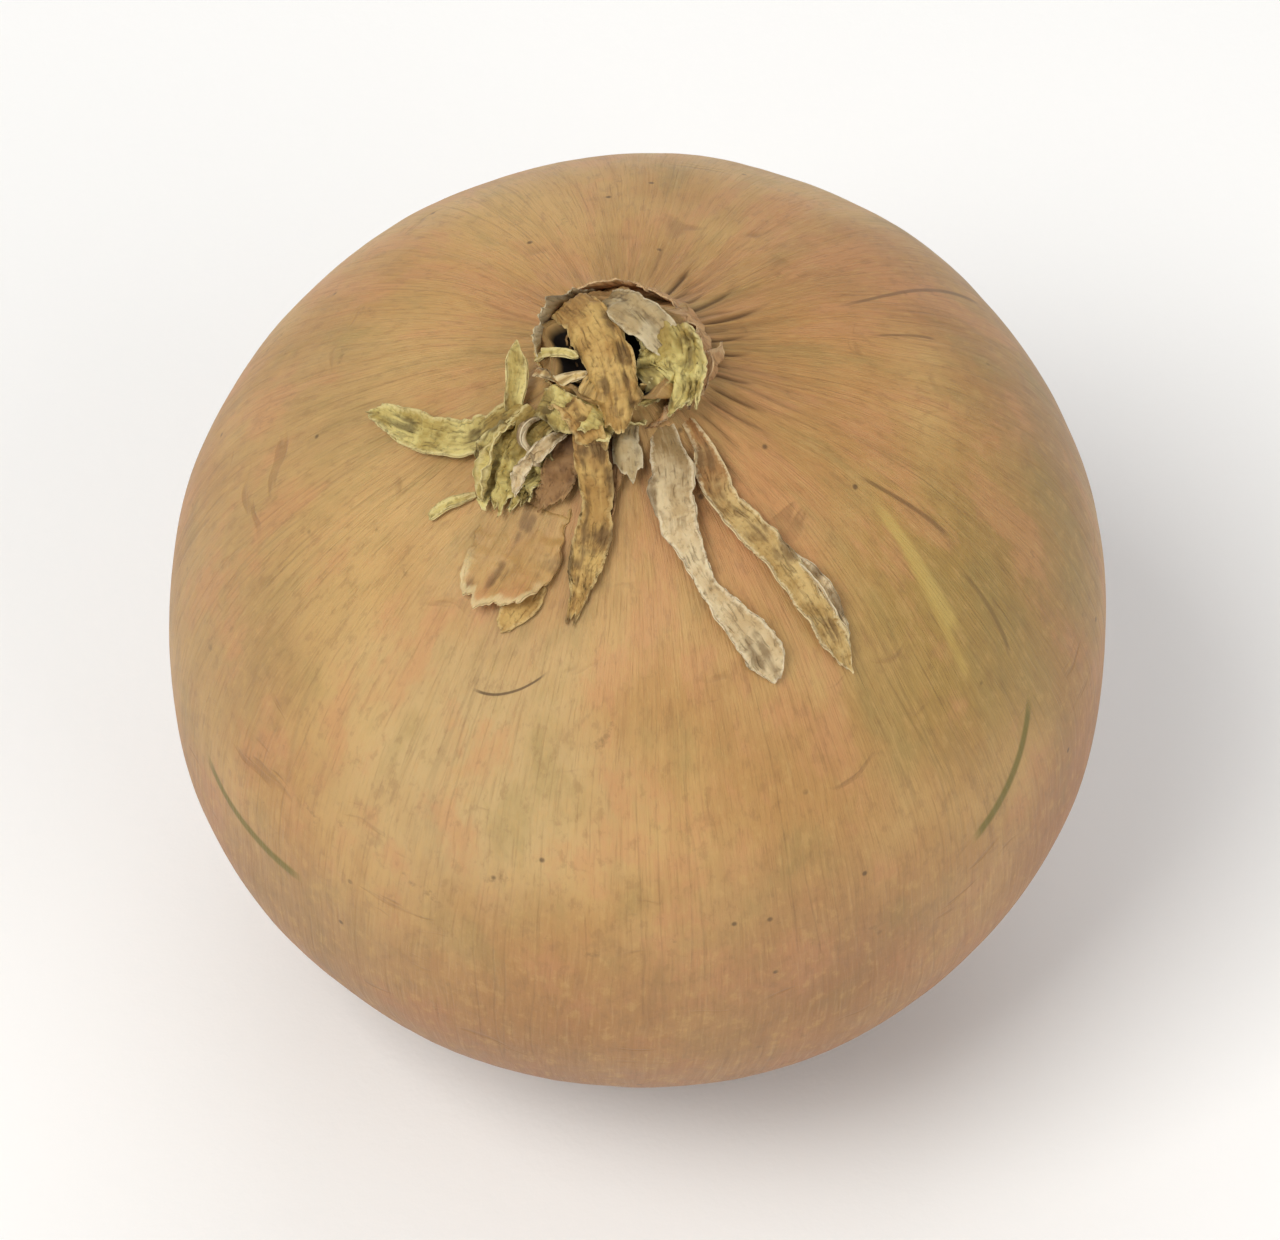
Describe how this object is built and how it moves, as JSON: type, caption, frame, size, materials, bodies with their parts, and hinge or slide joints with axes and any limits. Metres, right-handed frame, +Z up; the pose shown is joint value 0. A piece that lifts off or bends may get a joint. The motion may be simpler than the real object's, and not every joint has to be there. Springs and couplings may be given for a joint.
{
  "type": "onion",
  "caption": "Round dry brown onion with a short twisted neck, dried leaf ends over its shoulder and a trimmed root pad it stands on.",
  "frame": {"origin": "middle of the flat underside of the root pad, on the surface the onion stands on", "axes": "+Z up along the onion's axis from the roots to the neck; -Y is the side the long dried leaf ends hang down on"},
  "size_m": [0.0662, 0.0658, 0.0698],
  "materials": {
    "dry_skin": "satin",
    "dried_leaf": "matte",
    "dried_root": "matte"
  },
  "bodies": {
    "root": {"bulb": "dry_skin", "skin_tongue": "dry_skin", "leaf_end_left": "dried_leaf", "leaf_end_fringe": "dried_leaf", "leaf_end_upright": "dried_leaf", "leaf_end_fold": "dried_leaf", "leaf_end_fan": "dried_leaf", "leaf_end_front": "dried_leaf", "leaf_end_grey": "dried_leaf", "leaf_end_long": "dried_leaf", "leaf_end_side": "dried_leaf", "root_pad": "dried_root"}
  },
  "joints": []
}
